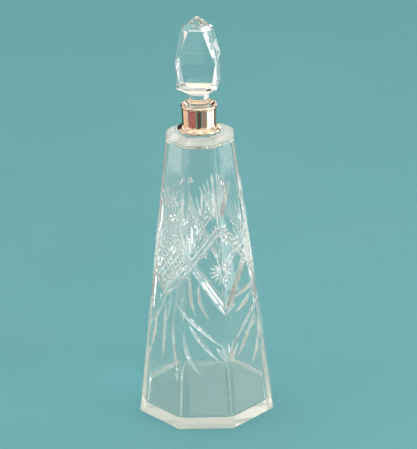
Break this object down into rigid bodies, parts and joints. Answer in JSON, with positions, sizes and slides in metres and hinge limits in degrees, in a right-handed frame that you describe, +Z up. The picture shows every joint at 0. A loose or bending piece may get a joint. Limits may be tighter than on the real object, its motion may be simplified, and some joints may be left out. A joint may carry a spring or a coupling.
{
  "type": "perfume bottle",
  "caption": "Tall tapering octagonal cut-glass scent bottle with a gilt metal neck collar and a faceted lift-out glass stopper.",
  "frame": {"origin": "centre of the flat face that the bottle stands on", "axes": "+Z up along the bottle's axis towards the stopper, -Y out of the middle of the front side, +X to the right seen from the front"},
  "size_m": [0.0594, 0.0594, 0.18],
  "materials": {
    "clear_glass": "polished clear colourless cut glass",
    "gilt_metal": "polished rose-gold gilding with slight wear",
    "plaster": "set plaster, matt and slightly yellowed"
  },
  "bodies": {
    "bottle": {"glass_body": "clear_glass", "collar_cement": "plaster", "collar_sleeve": "gilt_metal", "collar_rim": "gilt_metal"},
    "stopper": {"stopper": "clear_glass"}
  },
  "joints": [
    {"name": "stopper_lift", "type": "slide", "parent": "bottle", "child": "stopper", "axis": [0, 0, 1], "range_m": [0, 0.045]}
  ]
}
